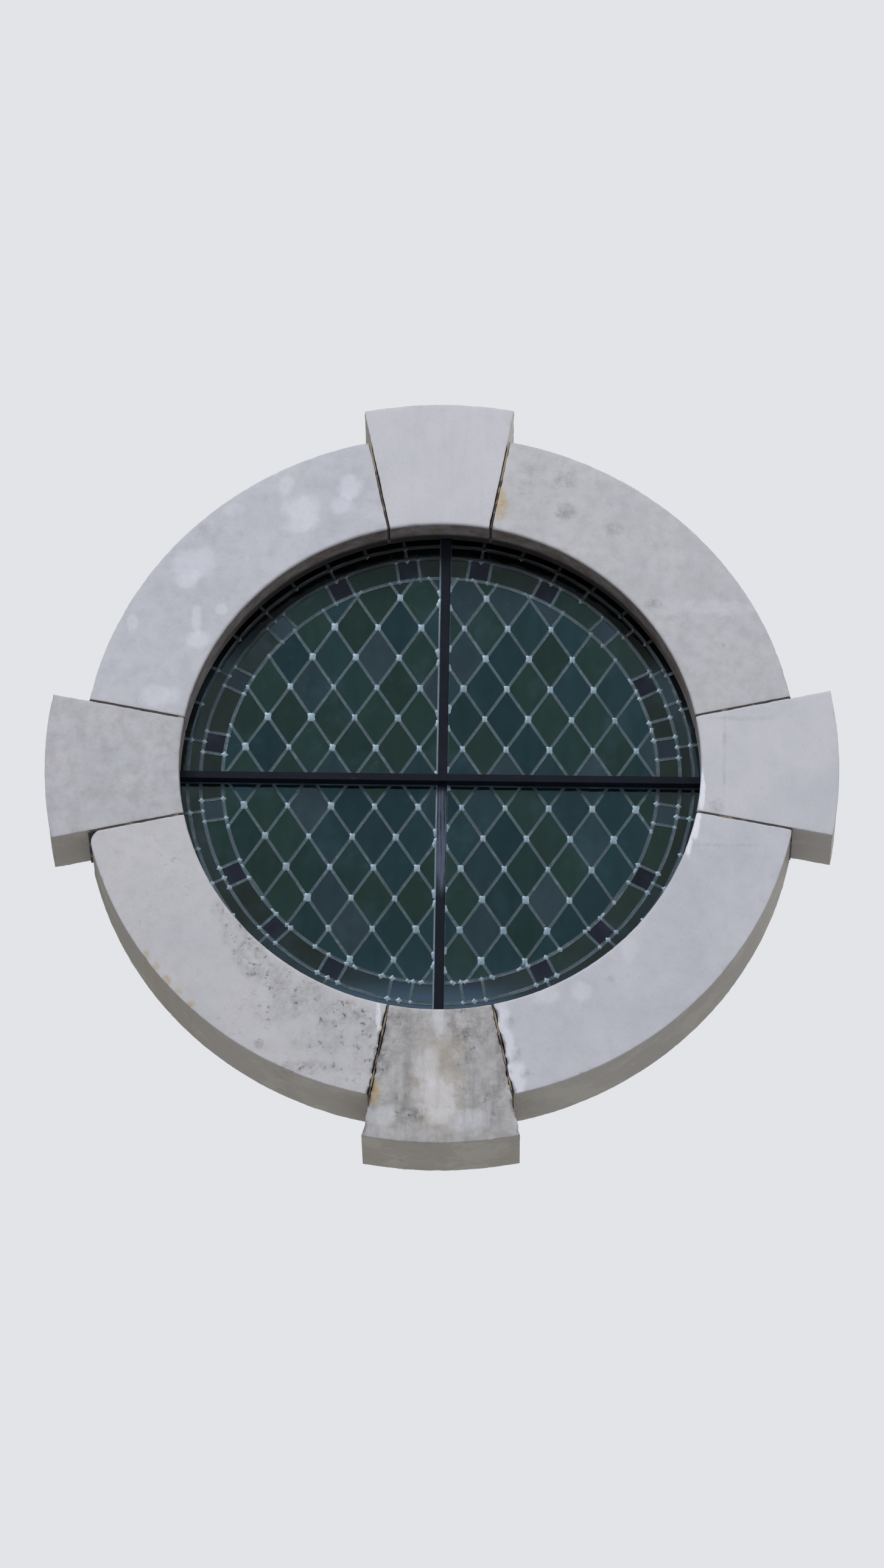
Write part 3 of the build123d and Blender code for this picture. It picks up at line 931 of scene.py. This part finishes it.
def in_quarter(x, z, quarter, margin):
    """Whether a place lies in a quarter, a margin away from its straight edges."""
    beside = x > RIGHT_EDGE + margin if "right" in quarter else x < LEFT_EDGE - margin
    above = z > UPPER_EDGE + margin if "upper" in quarter else z < LOWER_EDGE - margin
    return beside and above


def came_circles(lead):
    """Radii of the three round cames, from the rim inwards."""
    outer = PANEL_RADIUS - lead.rim_band
    middle = outer - lead.narrow_band
    return outer, middle, middle - lead.wide_band


def lattice(lead, quarter):
    """Rows of a panel's lattice, how far it is raised and how its cames lean."""
    rows = math.ceil(2 * came_circles(lead)[2] / lead.lattice_height)
    rise = lead.lower_rise if "lower" in quarter else 0
    return range(-rows, rows + 1), rise, math.atan2(lead.lattice_height, lead.lattice_width)


def leaning_cames(lead, quarter):
    """Height on the axis and lean of each came of a panel's lattice."""
    rows, rise, lean = lattice(lead, quarter)
    for row in rows:
        for side in (-1, 1):
            yield row * lead.lattice_height + rise, side * lean


def lattice_joints(lead, quarter):
    """Places where the leaning cames cross, and where they meet the inner circle."""
    inner = came_circles(lead)[2]
    rows, rise, lean = lattice(lead, quarter)
    for row in rows:
        z = row * lead.lattice_height / 2 + rise
        for step in rows:
            x = (step + row % 2 / 2) * lead.lattice_width
            if math.hypot(x, z) < inner - lead.blob:
                yield x, z, (lean, -lean)
    for height, lean in leaning_cames(lead, quarter):
        half_chord = inner**2 - (height * math.cos(lean)) ** 2
        if half_chord <= 0:
            continue
        for end in (-1, 1):
            along = end * math.sqrt(half_chord) - height * math.sin(lean)
            x = along * math.cos(lean)
            z = height + along * math.sin(lean)
            yield x, z, (lean, math.atan2(z, x) + math.pi / 2)


def edge_joints(lead, quarter):
    """Places where the leaning cames meet the upright edge of a panel."""
    inner = came_circles(lead)[2]
    x = RIGHT_EDGE + lead.edge_inset if "right" in quarter else LEFT_EDGE - lead.edge_inset
    for height, lean in leaning_cames(lead, quarter):
        z = height + math.tan(lean) * x
        if math.hypot(x, z) < inner and in_quarter(x, z, quarter, 0):
            yield x, z, (lean, math.pi / 2)


def border_joints(lead, quarter):
    """Places where the short cross cames meet the round cames."""
    outer, middle, inner = came_circles(lead)
    pitch = math.tau / lead.squares
    half_square = lead.square / (middle + inner)
    for number in range(lead.squares):
        angle = (number + 0.5) * pitch
        for side in (-1, 1):
            for circle in (inner, middle):
                yield circle, angle + side * half_square
        if quarter != "upper_right":
            yield middle, angle
            yield outer, angle
    if quarter == "upper_right":
        for degrees in MENDED_CAMES:
            yield middle, math.radians(degrees)
            yield outer, math.radians(degrees)
        yield inner, math.radians(ADDED_CAME)
        yield middle, math.radians(ADDED_CAME)
    for number in range(2 * lead.squares):
        yield outer, number * pitch / 2


def add_blob(bm, x, z, arms, radius, base, facing, rise, draw):
    """One low dome of solder, drawn out along the cames that meet in it."""
    made = bmesh.ops.create_cone(
        bm,
        cap_ends=True,
        segments=BLOB_SIDES,
        radius1=radius,
        radius2=radius * BLOB_TOP,
        depth=rise * BLOB_SHOULDER,
    )["verts"]
    caps = {face for vertex in made for face in vertex.link_faces}
    top = max(caps, key=lambda face: face.calc_center_median().z)
    crown = rise * (1 - BLOB_SHOULDER)
    bmesh.ops.inset_individual(bm, faces=[top], thickness=radius * BLOB_CROWN, depth=crown)
    blob = {vertex for face in top.verts[0].link_faces for vertex in face.verts}
    blob |= set(made)
    blob |= set(top.verts)
    low = min(vertex.co.z for vertex in blob)
    twist = draw.uniform(-0.12, 0.12)
    stretch = draw.uniform(0.9, 1.15)
    for vertex in blob:
        across, up, out = vertex.co.x, vertex.co.y, vertex.co.z - low
        angle = math.atan2(up, across)
        pull = max(abs(math.cos(angle - arm - twist)) for arm in arms)
        scale = stretch * (0.55 + 0.6 * pull**4)
        vertex.co = (x + across * scale, base + facing * out, z + up * scale)


class OCULUS_OT_solder(bpy.types.Operator):
    """Solder the joints of the nets, in front and behind"""

    bl_idname = "oculus.solder"
    bl_label = "Solder joints"

    def execute(self, context):
        lead = context.scene.oculus_lead
        material = tinned_solder(lead)
        draw = random.Random(7)
        for quarter in QUARTERS:
            places = [
                (x, z, arms)
                for x, z, arms in lattice_joints(lead, quarter)
                if in_quarter(x, z, quarter, lead.blob)
            ]
            places += edge_joints(lead, quarter)
            for circle, angle in border_joints(lead, quarter):
                x = circle * math.cos(angle)
                z = circle * math.sin(angle)
                if in_quarter(x, z, quarter, BORDER_MARGIN):
                    places.append((x, z, (angle, angle + math.pi / 2)))
            bm = bmesh.new()
            done = []
            for x, z, arms in places:
                if any(math.dist((x, z), other) < lead.blob for other in done):
                    continue
                done.append((x, z))
                radius = lead.blob * draw.uniform(0.85, 1.1)
                if math.hypot(x, z) > came_circles(lead)[2] - lead.blob:
                    radius *= lead.border_share
                for base, facing in ((LEAD_FRONT + lead.crown, -1), (LEAD_BACK - lead.crown, 1)):
                    rise = (lead.rise + lead.crown) * draw.uniform(0.85, 1.0)
                    add_blob(bm, x, z, arms, radius, base, facing, rise, draw)
            bmesh.ops.recalc_face_normals(bm, faces=bm.faces)
            show(bm, f"solder_{quarter}", material, "lead", crease=60)
        return {"FINISHED"}


# Glass
PANES = {  # material, slot, spread of lightness and tones of each kind
    "diamond_panes": ("lattice_glass", "green_glass", 0.35, "green green teal teal grey"),
    "border_panes": ("border_glass", "green_glass", 0.3, "olive olive olive green"),
    "square_panes": ("square_glass", "violet_glass", 0.35, "violet violet violet grey"),
    "narrow_panes": ("narrow_glass", "grey_glass", 0.4, "grey olive olive"),
    "rim_panes": ("rim_glass", "grey_glass", 0.4, "grey olive violet"),
}


def old_glass(name, glass, tones, spread):
    """Dark, slightly wavy glass, each pane with its own tone, with painted sky reflection and
    glints, and painted shade towards the top and under the soffit.
    """
    coat = Shader(name)
    last = len(tones) - 1
    stops = [(number / last, getattr(glass, tone)) for number, tone in enumerate(tones)]
    coat.tint = coat.node("ValToRGB", {"Fac": coat.attribute("tone")}, stops=stops)
    black = (0.0, 0.0, 0.0)
    dark = coat.mix(0.6, coat.tint, black)
    coat.lay(coat.attribute("level").between(0, 1) * spread, dark)
    reams = coat.noise(1, 3, 0.5, coat.scaled(26, 26, 9))
    coat.lay(reams.between(0.35, 0.75) * 0.25, dark)
    # Painted reflection of the sky: the lowest panes turn light blue, most of all low down near the
    # upright bar.
    low = coat.z.between(-0.50, -0.74) * 0.3
    low = low + coat.z.between(-0.60, -0.67) * coat.x.between(0.30, 0.10) * 0.5
    coat.lay(low, glass.sky)
    # Painted shade: the panes darken towards the top.
    coat.lay(coat.z.between(0.50, 0.66) * 0.6, dark)
    # Painted shade of the soffit: the panes there are laid black.
    coat.lay(coat.painted_soffit_shade() * 0.8, black)
    grime = coat.noise(55, 5, 0.7).between(0.5, 0.75)
    wave = coat.noise(11, 2, 0.5) + coat.noise(34, 2, 0.5) * 0.2
    # Painted glints of the sky, none where the soffit's shade is painted.
    glint = coat.noise(7, 3, 0.6).between(0.5, 0.75) * 0.16
    coat.lay(glint * (1 - coat.painted_soffit_shade()), glass.sky)
    gloss = {"Roughness": grime * 0.15 + 0.08, "IOR": 1.5, "Specular_IOR_Level": 0.28}
    return coat.finish(wave, 0.004, 0.35, Metallic=0.85, **gloss)


def islands(bm):
    """Groups of faces that hang together, in a fixed order."""
    left = set(bm.faces)
    found = []
    for seed in bm.faces:
        if seed not in left:
            continue
        left.discard(seed)
        group = [seed]
        for face in group:
            for edge in face.edges:
                for other in edge.link_faces:
                    if other in left:
                        left.discard(other)
                        group.append(other)
        found.append(group)
    return found


class OCULUS_OT_glass(bpy.types.Operator):
    """Make the panes, each with a tone of its own"""

    bl_idname = "oculus.glass"
    bl_label = "Glass"

    def execute(self, context):
        glass = context.scene.oculus_glass
        draw = random.Random(11)
        for kind, (name, slot, spread, tones) in PANES.items():
            material = old_glass(name, glass, tones.split(), spread)
            for quarter in QUARTERS:
                node = f"{kind}_{quarter}"
                bm = cad_copy(node)
                tone = bm.verts.layers.float.new("tone")
                level = bm.verts.layers.float.new("level")
                for group in islands(bm):
                    values = draw.random(), draw.random()
                    for vertex in {vertex for face in group for vertex in face.verts}:
                        vertex[tone], vertex[level] = values
                show(bm, f"{node}_glazed", material, slot, node)
        return {"FINISHED"}


# Iron, covers and straps
def bar_paint(iron):
    """Old dark blue paint, worn chalky on the face of the upright bar below the middle."""
    coat = Shader("bar_paint", iron.navy)
    cloud = coat.noise(12, 5, 0.65)
    fine = coat.noise(180, 4, 0.65)
    brush = coat.noise(1, 4, 0.6, coat.scaled(260, 260, 9))
    coat.lay(cloud.between(0.4, 0.8) * 0.5, iron.faded)
    stretch = coat.z.between(-0.02, -0.05) * coat.z.between(-0.37, -0.30)
    face = coat.y.between(MULLION_FACE + 0.002, MULLION_FACE)
    worn = stretch * face * (brush + cloud * 0.5).between(0.45, 0.85)
    coat.lay(worn * 0.8, iron.worn)
    rusty = coat.noise(38, 5, 0.7).between(0.64, 0.74)
    coat.lay(rusty * 0.15, iron.rust)
    height = fine * 0.5 + brush * 0.3 - rusty * 0.6
    rough = fine.between(0.3, 0.7, 0.42, 0.66)
    return coat.finish(height, 0.0007, 0.7, Roughness=rough, Specular_IOR_Level=0.08)


def bare_iron(iron):
    """Old iron inside: dull paint gone brown in places."""
    coat = Shader("bare_iron", iron.iron)
    cloud = coat.noise(16, 5, 0.7)
    fine = coat.noise(220, 4, 0.7)
    rusty = cloud.between(0.48, 0.66)
    coat.lay(rusty * 0.8, iron.rust)
    coat.lay(fine.between(0.5, 0.8) * 0.4, iron.navy)
    metal = rusty * -0.5 + 0.6
    rough = fine.between(0.3, 0.7, 0.5, 0.8)
    return coat.finish(fine + rusty * 0.5, 0.0008, 0.7, Roughness=rough, Metallic=metal)


def strap_copper(iron):
    """Copper gone brown, with a trace of green."""
    coat = Shader("strap_copper", iron.copper)
    cloud = coat.noise(60)
    green = coat.noise(90, 4, 0.7).between(0.6, 0.75)
    dark = tuple(level * 0.45 for level in iron.copper)
    coat.lay(cloud.between(0.35, 0.7), dark)
    coat.lay(green * 0.6, iron.patina)
    return coat.finish(cloud, 0.0004, 0.5, Roughness=0.45, Metallic=0.8)


def soften(node, offset):
    """A copy of a CAD node with its sharp edges rounded."""
    bm = cad_copy(node)
    bmesh.ops.dissolve_limit(
        bm, angle_limit=math.radians(0.5), verts=bm.verts, edges=bm.edges, delimit=set()
    )
    sharp = [edge for edge in bm.edges if edge.calc_face_angle(0) > math.radians(30)]
    bevel(bm, sharp, offset, 2, clamp=True)
    return bm


class OCULUS_OT_bars(bpy.types.Operator):
    """Finish the upright and the level bar and the lead round their ends"""

    bl_idname = "oculus.bars"
    bl_label = "Bars"

    def execute(self, context):
        iron = context.scene.oculus_iron
        material = bar_paint(iron)
        for node in ("mullion_bar", "transom_bar"):
            show(soften(node, iron.bevel), f"{node}_painted", material, "painted_iron", node)
        dress(weathered_lead(context.scene.oculus_lead), "bar_end_lead")
        return {"FINISHED"}


class OCULUS_OT_inside(bpy.types.Operator):
    """Finish the cover strips, wedges, pins, saddle bars and straps"""

    bl_idname = "oculus.inside"
    bl_label = "Inside fittings"

    def execute(self, context):
        iron = context.scene.oculus_iron
        material = bare_iron(iron)
        for node in ("mullion_cover", "transom_cover_left", "transom_cover_right", "cover_wedges"):
            show(soften(node, iron.bevel / 2), f"{node}_finished", material, "inside_iron", node)
        dress(material, "rebate_pins", "saddle_bar_upper", "saddle_bar_lower")
        dress(strap_copper(iron), "tie_straps")
        return {"FINISHED"}


# Stage
LAMPS = {  # place from the window's centre and width in metres, power in watts
    "key": ((-4, -9, 9), 6, 1180),
    "fill": ((7, -9, 3), 8, 310),
    "behind": ((3, 9, 6), 7, 1100),
}


def add_panel_light(name, place, target, width, power):
    """A soft square light that faces a target."""
    data = bpy.data.lights.new(name, "AREA")
    data.shape = "SQUARE"
    data.size = width
    data.energy = power
    lamp = add_object(name, data)
    lamp.location = place
    lamp.rotation_euler = (target - place).to_track_quat("-Z", "Y").to_euler()


def stage_floor(stage):
    """Plain floor that looks nearly as pale as the background."""
    bm = bmesh.new()
    bmesh.ops.create_grid(bm, x_segments=1, y_segments=1, size=stage.floor_reach)
    bmesh.ops.translate(bm, verts=bm.verts, vec=(0, 0, -stage.floor_drop))
    floor = add_mesh("floor", bm)
    coat = Shader("floor")
    pale = (*stage.pale, 1)
    lit = coat.node("BsdfPrincipled", {"Base Color": pale, "Roughness": 0.9})
    glow = coat.node("Emission", {"Color": pale})
    surface = coat.node("MixShader", {0: coat.seen() * stage.floor_glow, 1: lit, 2: glow})
    coat.node("OutputMaterial", {"Surface": surface})
    floor.data.materials.append(coat.owner)


def stage_world(stage):
    """Even light, and a pale background for the camera, for gloss and for glass."""
    sky = Shader("studio", owners="worlds")
    limits = {"From Min": -0.5, "From Max": 0.6}
    limits |= {"To Min": stage.ambient_below, "To Max": stage.ambient}
    strength = sky.node("MapRange", {"Value": sky.z, **limits})
    lit = sky.node("Background", {"Color": (1, 1, 1, 1), "Strength": strength})
    pale = sky.node("Background", {"Color": (*stage.pale, 1)})
    surface = sky.node("MixShader", {0: sky.seen(), 1: lit, 2: pale})
    sky.node("OutputWorld", {"Surface": surface})
    bpy.context.scene.world = sky.owner


def stage_camera(stage):
    """A camera below the window and far from it, as the photograph was taken."""
    target = sum(CAD_BOX, Vector()) / 2
    level = stage.distance * math.cos(stage.looks_up)
    back = Vector((level * math.sin(stage.from_right), -level * math.cos(stage.from_right), 0))
    back.z = -stage.distance * math.sin(stage.looks_up)
    data = bpy.data.cameras.new("camera")
    data.sensor_fit = "HORIZONTAL"
    data.lens = data.sensor_width * stage.distance / stage.view_width
    data.clip_end = 10 * stage.distance
    camera = add_object("camera", data)
    camera.rotation_mode = "QUATERNION"
    camera.location = target + back
    aim = (-back).to_track_quat("-Z", "Y")
    camera.rotation_quaternion = aim @ Matrix.Rotation(stage.roll, 3, "Z").to_quaternion()
    bpy.context.scene.camera = camera
    return target


class OCULUS_OT_stage(bpy.types.Operator):
    """Set up the camera, the floor and the light"""

    bl_idname = "oculus.stage"
    bl_label = "Stage"

    def execute(self, context):
        stage = context.scene.oculus_stage
        target = stage_camera(stage)
        stage_floor(stage)
        stage_world(stage)
        for name, (place, width, power) in LAMPS.items():
            add_panel_light(name, target + Vector(place), target, width, power)
        context.scene.view_settings.view_transform = "Standard"
        return {"FINISHED"}


class OCULUS_PT_panel(bpy.types.Panel):
    """Lists the steps and their settings"""

    bl_idname = "OCULUS_PT_panel"
    bl_label = "Oculus window"
    bl_space_type = "VIEW_3D"
    bl_region_type = "UI"
    bl_category = "Oculus"

    def draw(self, context):
        for name, kind in SETTINGS.items():
            box = self.layout.box()
            settings = getattr(context.scene, name)
            for field in kind.__annotations__:
                box.prop(settings, field)
        for step in STEPS:
            self.layout.operator(step.bl_idname)


SETTINGS = {
    "oculus_stone": StoneSettings,
    "oculus_mortar": MortarSettings,
    "oculus_lead": LeadSettings,
    "oculus_glass": GlassSettings,
    "oculus_iron": IronSettings,
    "oculus_stage": StageSettings,
}
STEPS = [
    OCULUS_OT_stones,
    OCULUS_OT_mortar,
    OCULUS_OT_lead,
    OCULUS_OT_solder,
    OCULUS_OT_glass,
    OCULUS_OT_bars,
    OCULUS_OT_inside,
    OCULUS_OT_stage,
]


def register():
    """Add the settings, the steps and the panel."""
    for name, kind in SETTINGS.items():
        bpy.utils.register_class(kind)
        setattr(bpy.types.Scene, name, PointerProperty(type=kind))
    for kind in [*STEPS, OCULUS_PT_panel]:
        bpy.utils.register_class(kind)


def unregister():
    """Remove what register added."""
    for kind in reversed([*STEPS, OCULUS_PT_panel]):
        bpy.utils.unregister_class(kind)
    for name, kind in SETTINGS.items():
        delattr(bpy.types.Scene, name)
        bpy.utils.unregister_class(kind)


def main():
    """Run every step in order."""
    register()
    for step in STEPS:
        group, action = step.bl_idname.split(".")
        getattr(getattr(bpy.ops, group), action)()


if __name__ == "__main__":
    main()
